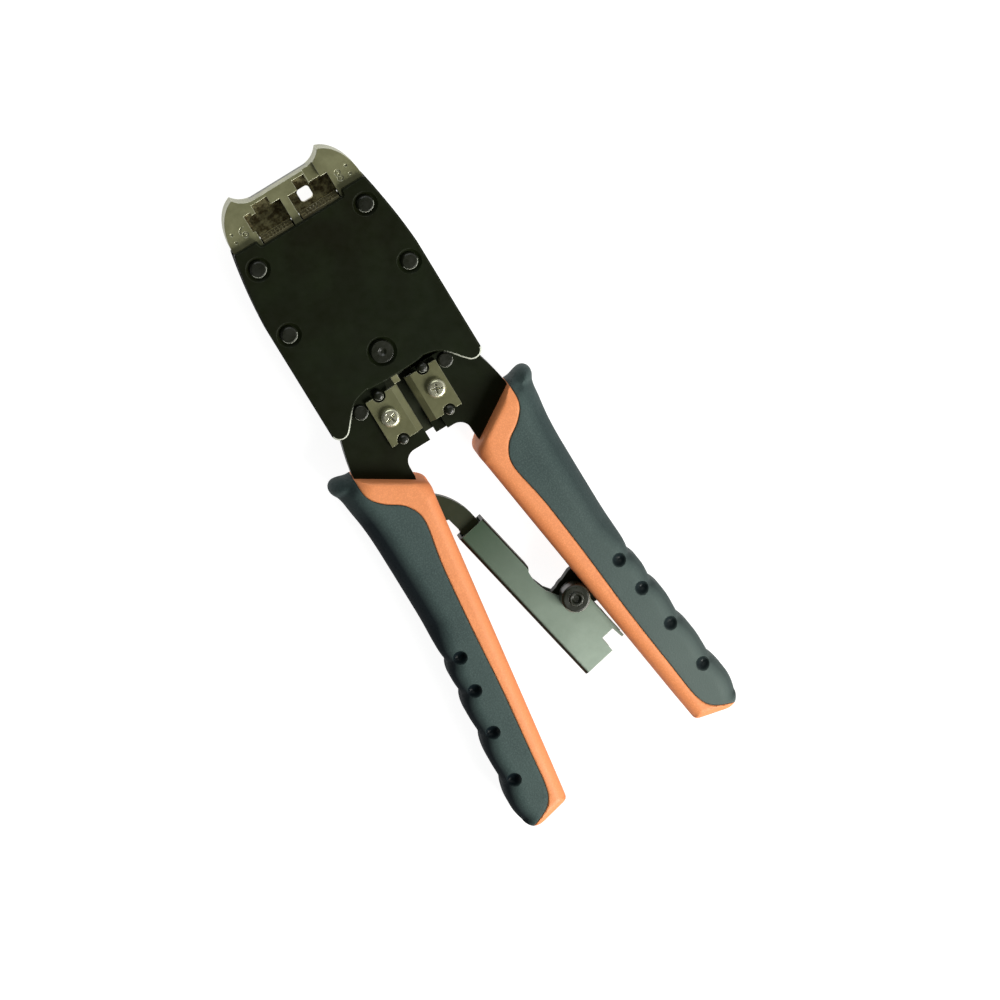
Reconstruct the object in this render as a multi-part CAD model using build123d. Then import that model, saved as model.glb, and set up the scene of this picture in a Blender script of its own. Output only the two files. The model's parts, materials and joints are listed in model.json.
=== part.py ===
from build123d import *
import os

# Ratcheting crimping tool for modular plugs. Millimetres.
# Drawn about the main pivot: +Y towards the nose, +X to the right, Z through the thickness with
# z = 0 in the middle of the head. The whole tool is moved at the end, so that it lies on its
# back with the origin under the centre of its box.

# ---- whole tool -------------------------------------------------------------------------
NOSE_TIP_Y = 55.2
GRIP_END_Y = -133.4
GRIP_HALF_THICKNESS = 9.5
TOOL_PLACE = Location((0, -(NOSE_TIP_Y + GRIP_END_Y) / 2, GRIP_HALF_THICKNESS))

# ---- head -------------------------------------------------------------------------------
HEAD_GAP_HALF = 4.2            # the side plates stand this far from z = 0
PLATE_THICKNESS = 2.0
PLATE_FACE_Z = HEAD_GAP_HALF + PLATE_THICKNESS
PLATE_TOP_Y = 42.8
PLATE_RECESS_Y = 41.0
PLATE_RECESS_HALF = 12.9
PLATE_HALF_WIDTH = 23.2
UPPER_RIVET = (16.6, 36.2)
MIDDLE_RIVET = (18.7, 16.9)
RIVET_SHANK_R = 1.9
RIVET_HEAD_R = 2.4
PIVOT_SHANK_R = 3.0
PIVOT_HEAD_R = 3.1
DIMPLE_DEPTH = 0.7
DIMPLE_FLARE = 0.9
RIVET_ROUNDING = 0.9
SHAFT_CLEARANCE = 0.05

# ---- nose and ram -----------------------------------------------------------------------
NOSE_HALF_THICKNESS = 4.15
NOSE_BOTTOM_Y = 31.0
CAVITY_BACK_Z = -2.5
CAVITY_BACK_Y = 42.0
SIX_WAY = (-11.85, -2.0)       # side walls of the 6-way cavity
EIGHT_WAY = (0.2, 12.2)        # side walls of the 8-way cavity
CAVITY_TOP_Y = 49.1
LATCH_TOP_Y = 51.4
NOTCH_FLOOR_Y = 52.4
CONTACT_PITCH = 1.02
RAM_BOTTOM_Y = 9.0
RAM_SHOULDER_Y = 29.2
RAM_FORK_Y = 38.5
PUNCH_TOP_Y = 42.4
RAM_HALF_THICKNESS = 3.7
RAM_TRAVEL = 1.5
SPRING_X = 13.4                # the two return springs stand here, in bores of the ram
SPRING_BORE_R = 1.9
SPRING_R = 1.35                # to the middle of the wire
SPRING_WIRE_R = 0.3
SPRING_PITCH = 1.25
SPRING_BOTTOM_Y = 21.5

# ---- arms and blades --------------------------------------------------------------------
LAP_GAP = 0.1                  # half the gap between the two arms where they cross
ARM_FRONT_Z = 4.1
ARM_BACK_Z = -2.8
DISC_R = 8.0
LAP_Y = -8.6                   # below this line an arm has its full thickness
TONGUE_TIP = (16.5, 5.2)
TONGUE_TIP_R = 3.5
ARM_RIVET = (13.3, -11.5)
BLADE_THICKNESS = 1.2
BLADE_TOP_Y = -9.8
BLADE_BOTTOM_Y = -23.8
BLADE_OUTER_X = 11.0
BLADE_EDGE_X = 1.25
BLADE_BEVEL = 1.8
BLADE_SCREW = (7.25, -16.5)
STUD_TOP = (6.9, -9.95)
STUD_BOTTOM = (7.3, -23.6)
STUD_R = 1.5
STUD_NOTCH_R = 1.8
STUD_DEPTH = 1.5
GUIDE_HALF_WIDTH = 2.4
GUIDE_FOOT_HALF = 4.8
GUIDE_TOP_Y = -8.4
GUIDE_FOOT_BOTTOM_Y = -12.4
GUIDE_BOTTOM_Y = -26.9
GUIDE_DEPTH = (-5.8, -4.4)       # behind both arms

# ---- ratchet ----------------------------------------------------------------------------
# The channel has its own axes: x across it from its left wall, y up along it, 0 at its top.
CHANNEL_PLACE = Location((-8.5, -55.5, 0), (0, 0, 11.4))
CHANNEL_LENGTH = 51.1
CHANNEL_WIDTH = 8.4
CHANNEL_WALL = 0.9
CHANNEL_HALF = 3.6
RIGHT_WALL_LENGTH = 18.3
BAR_HALF = 1.5
BAR_LEFT = 1.4
BAR_RIGHT = 7.0
BAR_END = -41.0
TOOTH_PITCH = 1.6
TOOTH_DEPTH = 0.9
TOOTH_COUNT = 7
BAR_PIN = (-13.0, -46.7)
BAR_PIN_R = 2.0
KNOB = (12.15, -32.35)           # in the channel's axes
KNOB_R = 3.9
KNOB_TOP_Z = 9.1
KNOB_BORE_R = 2.0
LUG_R = 4.8
LUG_HALF = 1.6
PAWL_PIN = (11.4, -44.9)
PAWL_HUB_R = 2.3


def prism(face, low, high):
    return Pos(0, 0, low) * extrude(face, high - low)


def disc(centre, radius, low, high):
    return Pos(centre[0], centre[1], (low + high) / 2) * Cylinder(radius, high - low)


def block(x, y, z):
    """A box from three (low, high) pairs."""
    middle = Pos((x[0] + x[1]) / 2, (y[0] + y[1]) / 2, (z[0] + z[1]) / 2)
    return middle * Box(x[1] - x[0], y[1] - y[0], z[1] - z[0])


def polygon(*points):
    return make_face(Polyline(*points, close=True))


def mirror_x(shape):
    return mirror(shape, about=Plane.YZ)


def turn_over(shape):
    """The same piece turned half a turn about the tool's long axis."""
    return Rot(0, 180, 0) * shape


def both_sides(point):
    return [(-point[0], point[1]), point]


# ---- head -------------------------------------------------------------------------------

def side_plate_outline():
    arch = Spline(
        (20.7, -14.9), (18.3, -13.7), (16.0, -10.9), (14.0, -8.7), (12.0, -7.5), (9.2, -6.8),
        (0, -7.3), tangents=((-1, 0), (-1, 0)))
    half = make_face([
        Line((0, PLATE_RECESS_Y), (PLATE_RECESS_HALF, PLATE_RECESS_Y)),
        Line((PLATE_RECESS_HALF, PLATE_RECESS_Y), (PLATE_RECESS_HALF, PLATE_TOP_Y)),
        Line((PLATE_RECESS_HALF, PLATE_TOP_Y), (20.2, PLATE_TOP_Y)),
        ThreePointArc((20.2, PLATE_TOP_Y), (22.15, 31.5), (PLATE_HALF_WIDTH, 20.3)),
        Line((PLATE_HALF_WIDTH, 20.3), (PLATE_HALF_WIDTH, -12.4)),
        ThreePointArc((PLATE_HALF_WIDTH, -12.4), (22.47, -14.17), (20.7, -14.9)),
        arch,
        Line((0, -7.3), (0, PLATE_RECESS_Y)),
    ])
    corners = half.vertices().filter_by(lambda v: v.Y > PLATE_RECESS_Y - 0.1 and v.X > 1)
    half = fillet(corners, 0.8)
    return half + mirror_x(half)


def side_plate():
    """The front plate, with a flared dimple round each rivet."""
    plate = prism(side_plate_outline(), HEAD_GAP_HALF, PLATE_FACE_Z)
    holes = [(p, RIVET_SHANK_R, RIVET_HEAD_R) for p in both_sides(UPPER_RIVET) + both_sides(MIDDLE_RIVET)]
    holes.append(((0, 0), PIVOT_SHANK_R, PIVOT_HEAD_R))
    for point, shank, head in holes:
        plate -= disc(point, shank, HEAD_GAP_HALF - 1, PLATE_FACE_Z + 1)
        flare = Cone(head + 0.1, head + 0.1 + DIMPLE_FLARE, DIMPLE_DEPTH)
        plate -= Pos(point[0], point[1], PLATE_FACE_Z - DIMPLE_DEPTH / 2) * flare
    edges = plate.edges().filter_by(lambda e: e.center().Z > PLATE_FACE_Z - 0.01 and e.center().Y < -6)
    return chamfer(edges, 0.4)


def rivet(point, shank_r, head_r, half_length):
    """A plain rivet with a low head at each end."""
    body = disc(point, shank_r, -half_length, half_length)
    seat = PLATE_FACE_Z - DIMPLE_DEPTH
    head = disc(point, head_r, seat, half_length)
    head = fillet(head.edges().group_by(Axis.Z)[-1], RIVET_ROUNDING)
    return body + head + mirror(head, about=Plane.XY)


def rivet_pair(point):
    return Compound([rivet(p, RIVET_SHANK_R, RIVET_HEAD_R, PLATE_FACE_Z + 0.5) for p in both_sides(point)])


def pivot_rivet():
    body = rivet((0, 0), PIVOT_SHANK_R - SHAFT_CLEARANCE, PIVOT_HEAD_R, PLATE_FACE_Z + 0.6)
    punch_mark = Pos(0, 0, PLATE_FACE_Z + 0.6 - 0.2) * Cone(0.5, 1.1, 0.4)
    return body - punch_mark


def guide_rails():
    rail = block((16.0, 21.0), (11.0, 30.6), (-HEAD_GAP_HALF, HEAD_GAP_HALF))
    rail = fillet(rail.edges().filter_by(Axis.Z), 1.2)
    rail -= disc(MIDDLE_RIVET, RIVET_SHANK_R, -9, 9)
    return Compound([mirror_x(rail), rail])


def wire_stop():
    """Small block on the front plate's lower edge, above the gap between the blades."""
    return block((-1.7, 0.2), (-9.3, -7.3), (4.3, 5.8)) + block((-1.7, 0.2), (-9.3, -8.4), (0.4, 4.4))


def wire_guide():
    """Flat T behind the gap between the blades, standing on the back plate's lower edge."""
    strip = block((-GUIDE_HALF_WIDTH, GUIDE_HALF_WIDTH), (GUIDE_BOTTOM_Y, GUIDE_TOP_Y), GUIDE_DEPTH)
    foot = block((-GUIDE_FOOT_HALF, GUIDE_FOOT_HALF), (GUIDE_FOOT_BOTTOM_Y, GUIDE_TOP_Y), GUIDE_DEPTH)
    return strip + foot


# ---- nose, ram and punches --------------------------------------------------------------

def nose_outline():
    half = make_face([
        Line((0, NOSE_BOTTOM_Y), (19.4, NOSE_BOTTOM_Y)),
        Line((19.4, NOSE_BOTTOM_Y), (20.0, PLATE_TOP_Y)),
        Spline((20.0, PLATE_TOP_Y), (19.0, 48.8), (17.2, 52.2), (15.2, 54.2), (13.2, NOSE_TIP_Y)),
        ThreePointArc((13.2, NOSE_TIP_Y), (11.2, 53.3), (8.8, NOTCH_FLOOR_Y)),
        Line((8.8, NOTCH_FLOOR_Y), (0, NOTCH_FLOOR_Y)),
        Line((0, NOTCH_FLOOR_Y), (0, NOSE_BOTTOM_Y)),
    ])
    return half + mirror_x(half)


def nose_block():
    nose = prism(nose_outline(), -NOSE_HALF_THICKNESS, NOSE_HALF_THICKNESS)
    back_chamfer = Pos(0, NOTCH_FLOOR_Y, -NOSE_HALF_THICKNESS) * Rot(45, 0, 0) * Box(17.0, 0.7, 0.7)
    nose -= back_chamfer
    low = NOSE_BOTTOM_Y - 1
    through = (-9, 9)
    # room for the ram's two forks, then the two plug cavities with their stepped latch slots
    nose -= block((SIX_WAY[0], SIX_WAY[1]), (low, CAVITY_BACK_Y), through)
    nose -= block((EIGHT_WAY[0], EIGHT_WAY[1]), (low, CAVITY_BACK_Y), through)
    pocket = (CAVITY_BACK_Z, 9)
    nose -= block(SIX_WAY, (CAVITY_BACK_Y - 1, CAVITY_TOP_Y), pocket)
    nose -= block((-9.4, -4.7), (CAVITY_TOP_Y - 1, LATCH_TOP_Y), pocket)
    nose -= block((-12.6, -10.6), (45.0, 50.0), (0.8, 9))
    nose -= block(EIGHT_WAY, (CAVITY_BACK_Y - 1, CAVITY_TOP_Y - 0.6), pocket)
    nose -= block((3.1, 6.6), (CAVITY_TOP_Y - 1, LATCH_TOP_Y), pocket)
    nose -= block((6.9, 10.2), (CAVITY_TOP_Y - 1, NOSE_TIP_Y), (2.6, 9))
    # the plug's cable end shows through a window in the back wall
    window = block((2.7, 6.3), (43.7, 47.4), (-9, 0))
    nose -= fillet(window.edges().filter_by(Axis.Z), 0.9)
    for point in both_sides(UPPER_RIVET):
        nose -= disc(point, RIVET_SHANK_R, -9, 9)
    for mark in size_marks():
        nose -= mark
    return nose


def size_marks():
    """Stamped digits 6 and 8, the contact counts of the two cavities, and two punched dots each."""
    depth = (NOSE_HALF_THICKNESS - 0.3, NOSE_HALF_THICKNESS + 1)

    def loop(x, y):
        return disc((x, y), 0.85, *depth) - disc((x, y), 0.45, depth[0] - 1, depth[1] + 1)

    six_tail = Pos(-14.6, 46.6, 0) * (
        disc((0, 0), 1.25, *depth) - disc((0, 0), 0.85, depth[0] - 1, depth[1] + 1)
        - block((0, 3), (-3, 1.0), (-9, 9)) - block((-3, 3), (-3, -0.4), (-9, 9)))
    marks = [loop(-14.6, 45.6), six_tail, loop(14.6, 45.3), loop(14.6, 46.9)]
    for x in (-17.9, 17.4):
        for y in (45.0, 47.4):
            marks.append(disc((x, y), 0.4, *depth))
    return marks


def ram():
    """Slides up between the guide rails; two forks carry the punches past the cavity wall."""
    thick = (-RAM_HALF_THICKNESS, RAM_HALF_THICKNESS)
    body = block((-15.6, 15.6), (RAM_BOTTOM_Y, RAM_SHOULDER_Y), thick)
    body += block((SIX_WAY[0] + 0.3, SIX_WAY[1] - 0.3), (RAM_SHOULDER_Y - 1, RAM_FORK_Y), thick)
    body += block((EIGHT_WAY[0] + 0.3, EIGHT_WAY[1] - 0.3), (RAM_SHOULDER_Y - 1, RAM_FORK_Y), thick)
    low = SPRING_BOTTOM_Y - RAM_TRAVEL - 0.2
    for x in (-SPRING_X, SPRING_X):
        bore = Rot(90, 0, 0) * Cylinder(SPRING_BORE_R, RAM_SHOULDER_Y + 1 - low)
        body -= Pos(x, (RAM_SHOULDER_Y + 1 + low) / 2, 0) * bore
    return body


def return_springs():
    """Two coil springs between the ram and the underside of the nose block."""
    length = NOSE_BOTTOM_Y - SPRING_BOTTOM_Y - 2 * SPRING_WIRE_R
    helix = Helix(SPRING_PITCH, length, SPRING_R)
    wire = Plane(origin=helix @ 0, z_dir=helix % 0) * Circle(SPRING_WIRE_R)
    coil = Rot(-90, 0, 0) * sweep(wire, path=helix)
    bottom = SPRING_BOTTOM_Y + SPRING_WIRE_R
    return Compound([Pos(x, bottom, 0) * coil for x in (-SPRING_X, SPRING_X)])


def punch(walls, contacts):
    """One row of thin contact drivers on a foot, with a bar as wide as the foot behind them."""
    middle = (walls[0] + walls[1]) / 2
    foot = block((walls[0] + 0.4, walls[1] - 0.4), (RAM_FORK_Y, PUNCH_TOP_Y - 0.9), (-2.2, 3.6))
    relief = block((walls[0] + 0.2, walls[1] - 0.2), (PUNCH_TOP_Y - 0.9, PUNCH_TOP_Y), (-2.2, -0.6))
    comb = foot + relief
    for index in range(contacts):
        x = middle + (index - (contacts - 1) / 2) * CONTACT_PITCH
        comb += block((x - 0.2, x + 0.2), (PUNCH_TOP_Y - 0.9, PUNCH_TOP_Y), (0.8, 3.0))
    return comb


# ---- arms -------------------------------------------------------------------------------

def arm_outline():
    """Plan of the left arm below the lap, from the head down into the grip."""
    return make_face([
        Polyline((-4.2, LAP_Y), (-4.2, -24.1), (-4.4, -24.1), (-4.4, -27.7), (-6.4, -27.7)),
        ThreePointArc((-6.4, -27.7), (-8.7, -28.7), (-9.7, -31.0)),
        Polyline((-9.7, -31.0), (-9.8, -34.0), (-10.6, -38.0), (-9.6, -42.6), (-9.5, -48.8),
                 (-12.3, -49.2), (-15.6, -58.0), (-16.8, -62.0), (-24.6, -118.0)),
        ThreePointArc((-24.6, -118.0), (-27.4, -120.0), (-29.4, -117.3)),
        Polyline((-29.4, -117.3), (-22.8, -62.0), (-22.4, -46.0), (-24.2, -31.0), (-24.0, -25.0)),
        Spline((-24.0, -25.0), (-23.0, -20.2), (-21.4, -14.6), (-18.8, LAP_Y)),
        Line((-18.8, LAP_Y), (-4.2, LAP_Y)),
    ])


def arm_blank():
    """The left arm without its ratchet details: half as thick where it crosses the other arm."""
    arm = prism(arm_outline(), ARM_BACK_Z, ARM_FRONT_Z)
    neck = polygon((-4.2, LAP_Y - 1), (-18.8, LAP_Y), (-16.5, -3.5), (-5.0, 6.0), (4.0, 6.6), (-3.0, -7.3))
    tongue = polygon((3.0, -7.4), (17.6, 1.9), (17.9, 8.2), (15.4, 8.5), (-1.0, 7.9))
    tip = disc(TONGUE_TIP, TONGUE_TIP_R, LAP_GAP, ARM_FRONT_Z)
    lapped = prism(neck, LAP_GAP, ARM_FRONT_Z) + disc((0, 0), DISC_R, LAP_GAP, ARM_FRONT_Z)
    lapped += prism(tongue, LAP_GAP, ARM_FRONT_Z) + tip
    arm += lapped
    tab = polygon((-5, -24.1), (-BLADE_EDGE_X, -24.1), (-BLADE_EDGE_X, -27.7), (-5, -27.7))
    arm += prism(tab, LAP_GAP, ARM_FRONT_Z)
    arm -= disc((0, 0), PIVOT_SHANK_R, -9, 9)
    arm -= disc((-ARM_RIVET[0], ARM_RIVET[1]), RIVET_SHANK_R, -9, 9)
    arm -= disc((-BLADE_SCREW[0], BLADE_SCREW[1]), STUD_R, -9, 9)
    return arm


def stud_holes(side, low, high):
    holes = [disc((side * stud[0], stud[1]), STUD_R, low, high) for stud in (STUD_TOP, STUD_BOTTOM)]
    return holes[0] + holes[1]


def bar_slot():
    """Room in the left arm for the ratchet bar's head and its swing."""
    return disc(BAR_PIN, 9.5, -BAR_HALF - 0.3, BAR_HALF + 0.3)


def left_arm(blank):
    arm = blank - bar_slot() - stud_holes(-1, ARM_FRONT_Z - STUD_DEPTH, 9)
    return arm - disc(BAR_PIN, BAR_PIN_R, -9, 9)


def lug_outline():
    knob = knob_centre()
    strap = polygon((knob[0] - 4.8, knob[1] + 3.3), (knob[0] - 1.4, knob[1] + 4.3), (knob[0] + 2.2, knob[1] + 6.0),
                    (21.5, knob[1] + 7.0), (22.5, knob[1] - 6.0), (knob[0] + 1.0, knob[1] - LUG_R))
    return strap + Pos(knob[0], knob[1]) * Circle(LUG_R)


def right_arm(blank):
    lug = prism(lug_outline(), -LUG_HALF, LUG_HALF)
    arm = turn_over(blank) + lug - stud_holes(1, -ARM_BACK_Z - STUD_DEPTH, 9)
    return arm - disc(knob_centre(), KNOB_BORE_R - SHAFT_CLEARANCE, -9, 9)


def arm_rivet(x, front, back):
    head = disc((x, ARM_RIVET[1]), 2.1, front, front + 0.7)
    head = fillet(head.edges().group_by(Axis.Z)[-1], 0.5)
    return disc((x, ARM_RIVET[1]), RIVET_SHANK_R, back, front) + head


def blade():
    """The left blade: bevelled on its front face, notched round the two studs."""
    low = ARM_FRONT_Z
    high = ARM_FRONT_Z + BLADE_THICKNESS
    section = make_face(Polyline(
        (-BLADE_OUTER_X, 0, low), (-BLADE_EDGE_X, 0, low),
        (-BLADE_EDGE_X - BLADE_BEVEL, 0, high), (-BLADE_OUTER_X, 0, high), close=True))
    plate = extrude(section, BLADE_TOP_Y - BLADE_BOTTOM_Y, dir=(0, -1, 0))
    plate = Pos(0, BLADE_TOP_Y, 0) * plate
    for stud in (STUD_TOP, STUD_BOTTOM):
        plate -= disc((-stud[0], stud[1]), STUD_NOTCH_R, low - 1, high + 1)
    return plate - disc((-BLADE_SCREW[0], BLADE_SCREW[1]), STUD_R, low - 1, high + 1)


def blade_screw():
    """Pan head with a cross recess."""
    point = (-BLADE_SCREW[0], BLADE_SCREW[1])
    seat = ARM_FRONT_Z + BLADE_THICKNESS
    head = fillet(disc(point, 2.6, seat, seat + 1.7).edges().group_by(Axis.Z)[-1], 0.9)
    screw = disc(point, STUD_R, ARM_BACK_Z + 0.5, seat) + head
    for angle in (20, 110):
        slot = Rot(0, 0, angle) * Box(3.0, 0.6, 2.2)
        screw -= Pos(point[0], point[1], seat + 1.7) * slot
    return screw


def blade_studs():
    studs = []
    for stud in (STUD_TOP, STUD_BOTTOM):
        pin = disc((-stud[0], stud[1]), STUD_R, ARM_FRONT_Z - STUD_DEPTH, ARM_FRONT_Z + 1.8)
        studs.append(fillet(pin.edges().group_by(Axis.Z)[-1], 1.1))
    return Compound(studs)


# ---- grips ------------------------------------------------------------------------------

def grip_outline():
    """Plan of the right grip, with its horn and four finger scallops."""
    side = Spline(
        (23.9, -26.0), (26.4, -24.7), (28.9, -23.7), (31.0, -24.4), (31.6, -26.4), (30.4, -29.0),
        (29.8, -32.4), (29.3, -36.0), (28.8, -41.0), (28.6, -48.0), (28.6, -60.0), (28.8, -73.0),
        (28.9, -79.6), (28.4, -82.3))
    return make_face([
        Line((7.1, -36.8), (23.9, -26.0)),
        side,
        Spline((28.4, -82.3), (29.5, -84.2), (30.0, -88.2), (29.6, -91.7)),
        Spline((29.6, -91.7), (30.7, -93.8), (31.4, -99.5), (31.2, -104.6)),
        Spline((31.2, -104.6), (32.1, -106.8), (32.9, -113.0), (32.8, -118.4)),
        Spline((32.8, -118.4), (33.7, -120.6), (34.5, -126.0), (33.2, -131.4), (29.6, GRIP_END_Y),
               tangents=((0.6, -1), (-1, 0))),
        Line((29.6, GRIP_END_Y), (20.3, -131.2)),
        Line((20.3, -131.2), (18.9, -121.5)),
        Line((18.9, -121.5), (7.8, -40.2)),
        Line((7.8, -40.2), (7.1, -36.8)),
    ])


def cover_side():
    """Everything outside the colour line between grip body and cover."""
    line = Spline((24.0, -23.0), (24.3, -27.5), (23.6, -31.6), (21.8, -34.0), (19.6, -35.9), (17.0, -37.6),
                  (15.3, -39.6), (14.1, -42.2), (13.9, -45.2), (14.7, -50.0), (15.9, -56.0), (16.9, -64.0),
                  (18.1, -75.0), (19.5, -91.0), (21.0, -104.5), (22.1, -113.5), (22.9, -120.5), (23.6, -125.0),
                  (25.3, -128.9), (27.6, -130.7), (30.5, -132.0), (33.5, -134.8))
    frame = Polyline((33.5, -134.8), (50, -134.8), (50, -15), (24.0, -15), (24.0, -23.0))
    return make_face([line, frame])


def grip_solids():
    """The right grip's body and cover, before anything is cut for the arm."""
    outline = grip_outline()
    notches = outline.vertices().filter_by(lambda v: v.X > 27 and v.Y < -80 and v.Y > -120)
    outline = fillet(notches, 0.6)
    mouth_corner = outline.vertices().filter_by(lambda v: v.X < 7.3 and v.Y > -38)
    outline = fillet(mouth_corner, 2.6)
    end_corner = outline.vertices().filter_by(lambda v: v.X < 20.5 and v.Y < -131)
    outline = fillet(end_corner, 1.2)
    whole = prism(outline, -GRIP_HALF_THICKNESS, GRIP_HALF_THICKNESS)
    outside = prism(cover_side(), -20, 20)
    return whole - outside, whole & outside


def left_grip_slot():
    """Room for the bar's head, and for the channel when the handles close."""
    bar_room = polygon((-4, -36.6), (-20, -36.6), (-22, -57), (-4, -57))
    channel_room = polygon((-4, -47.5), (-14.4, -47.5), (-15.6, -58.0), (-16.6, -62.0), (-23.0, -109.0),
                           (-4, -109.0))
    slot = prism(bar_room, -BAR_HALF - 0.4, BAR_HALF + 0.4)
    return slot + prism(channel_room, -CHANNEL_HALF - 0.5, CHANNEL_HALF + 0.5)


def right_grip_slot():
    """Room for the lug that carries the channel."""
    knob = knob_centre()
    room = polygon((8, knob[1] + 8), (22, knob[1] + 8), (23, knob[1] - 7), (8, knob[1] - 7))
    return prism(room, -LUG_HALF - 0.3, LUG_HALF + 0.3)


# ---- ratchet ----------------------------------------------------------------------------

def in_channel(shape):
    return CHANNEL_PLACE * shape


def knob_centre():
    place = CHANNEL_PLACE * Pos(KNOB[0], KNOB[1], 0)
    return (place.position.X, place.position.Y)


def channel_face():
    upper = polygon((0, 0), (CHANNEL_WIDTH, 0), (CHANNEL_WIDTH, -RIGHT_WALL_LENGTH),
                    (7.5, -19.4), (7.0, -22.0), (7.0, -24.0), (0, -24.0))
    lower = polygon((0, -23), (7.0, -23), (7.5, -26.4), (9.2, -29.8), (14.9, -34.2), (14.7, -50.0),
                    (14.0, -50.0), (13.7, -46.6), (9.8, -46.6), (9.6, -CHANNEL_LENGTH), (0, -CHANNEL_LENGTH))
    hub = Pos(KNOB[0], KNOB[1]) * Circle(3.8)
    return upper + lower + hub


def ratchet_channel():
    """Folded sheet: front face, long left wall and short right wall."""
    front = prism(channel_face(), CHANNEL_HALF - CHANNEL_WALL, CHANNEL_HALF)
    walls = (-CHANNEL_HALF + CHANNEL_WALL, CHANNEL_HALF - CHANNEL_WALL)
    front += block((0, CHANNEL_WALL), (-CHANNEL_LENGTH, 0), walls)
    front += block((CHANNEL_WIDTH - CHANNEL_WALL, CHANNEL_WIDTH), (-RIGHT_WALL_LENGTH, 0), walls)
    top_edges = front.edges().filter_by(lambda e: e.center().Z > CHANNEL_HALF - 0.01)
    front = fillet(top_edges.filter_by(lambda e: e.center().X < 0.01), 1.2)
    right_fold = front.edges().filter_by(
        lambda e: e.center().Z > CHANNEL_HALF - 0.01 and e.center().X > CHANNEL_WIDTH - 0.01
        and e.center().Y > -RIGHT_WALL_LENGTH)
    front = fillet(right_fold, 0.7)
    front -= disc(KNOB, 3.2, 0, 9)
    return in_channel(front)


def ratchet_back():
    """Flat back sheet of the channel."""
    back = prism(channel_face(), -CHANNEL_HALF, -CHANNEL_HALF + CHANNEL_WALL)
    back -= disc(KNOB, KNOB_BORE_R, -9, 0)
    back -= disc(PAWL_PIN, 1.0, -9, 0)
    return in_channel(back)


def bar_head_outline():
    """The bar's round head, in the tool's axes."""
    return make_face([
        Spline((-1.8, -53.8), (-2.5, -50.2), (-4.5, -45.8), (-8.3, -41.6), (-13.0, -39.6)),
        Spline((-13.0, -39.6), (-17.4, -42.2), (-18.2, -47.2), (-15.4, -50.3), (-10.6, -48.8),
               tangents=((-1, 0), (1, 0.4))),
        Polyline((-10.6, -48.8), (-8.2, -49.6), (-6.9, -54.9), (-1.8, -53.8)),
    ])


def ratchet_bar():
    strip = block((BAR_LEFT, BAR_RIGHT), (BAR_END, 1.2), (-BAR_HALF, BAR_HALF))
    for index in range(TOOTH_COUNT):
        top = BAR_END + 1.2 + index * TOOTH_PITCH
        notch = polygon((BAR_RIGHT + 0.1, top), (BAR_RIGHT - TOOTH_DEPTH, top),
                        (BAR_RIGHT + 0.1, top + TOOTH_PITCH - 0.15))
        strip -= prism(notch, -9, 9)
    bar = in_channel(strip) + prism(bar_head_outline(), -BAR_HALF, BAR_HALF)
    return bar - disc(BAR_PIN, BAR_PIN_R + SHAFT_CLEARANCE, -9, 9)


def pawl():
    """Hooked lever below the knob; its tip rides on the bar's teeth."""
    lever = polygon((PAWL_PIN[0] - 1.6, PAWL_PIN[1] + 1.9), (7.9, -38.6), (7.25, -39.9), (9.0, -42.6),
                    (PAWL_PIN[0] - 0.6, PAWL_PIN[1] - 2.1))
    body = prism(lever + Pos(*PAWL_PIN) * Circle(PAWL_HUB_R), -BAR_HALF, BAR_HALF)
    return in_channel(body - disc(PAWL_PIN, 1.0 + SHAFT_CLEARANCE, -9, 9))


def pawl_pin():
    pin = disc(PAWL_PIN, 1.0, -CHANNEL_HALF - 0.3, CHANNEL_HALF - CHANNEL_WALL)
    return in_channel(pin + disc(PAWL_PIN, 1.6, -CHANNEL_HALF - 0.7, -CHANNEL_HALF))


def pawl_spring():
    """Small leaf that holds the pawl against the teeth."""
    return in_channel(prism(polygon((15.0, -41.2), (14.6, -41.2), (14.2, -46.0), (14.6, -46.0)), -1.2, 1.2))


def pivot_stud():
    """Fixed in the lug; the channel and the knob turn on it. Its upset end stands out as a ring."""
    top = KNOB_TOP_Z + 0.3
    stud = disc(KNOB, KNOB_BORE_R - SHAFT_CLEARANCE, -CHANNEL_HALF - 0.9, top)
    stud = fillet(stud.edges().group_by(Axis.Z)[-1], 0.25)
    stud += disc(KNOB, 3.0, -CHANNEL_HALF - 0.9, -CHANNEL_HALF - 0.1)
    stud -= Pos(KNOB[0], KNOB[1], top - 0.4) * Cone(0.9, 1.35, 0.8)
    return in_channel(stud)


def release_knob():
    """Round black knob with a hub through the channel's face and a cam inside it."""
    low = CHANNEL_HALF + 0.15
    head = disc(KNOB, KNOB_R, low, KNOB_TOP_Z)
    head = fillet(head.edges().group_by(Axis.Z)[-1], 0.7)
    hub = disc(KNOB, 3.1, LUG_HALF + 0.2, low)
    cam = prism(Pos(KNOB[0] - 0.2, KNOB[1] - 3.6) * Circle(1.2), LUG_HALF + 0.2, CHANNEL_HALF - CHANNEL_WALL - 0.2)
    return in_channel(head + hub + cam - disc(KNOB, KNOB_BORE_R, -9, 19))


# ---- assembly ---------------------------------------------------------------------------

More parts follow.
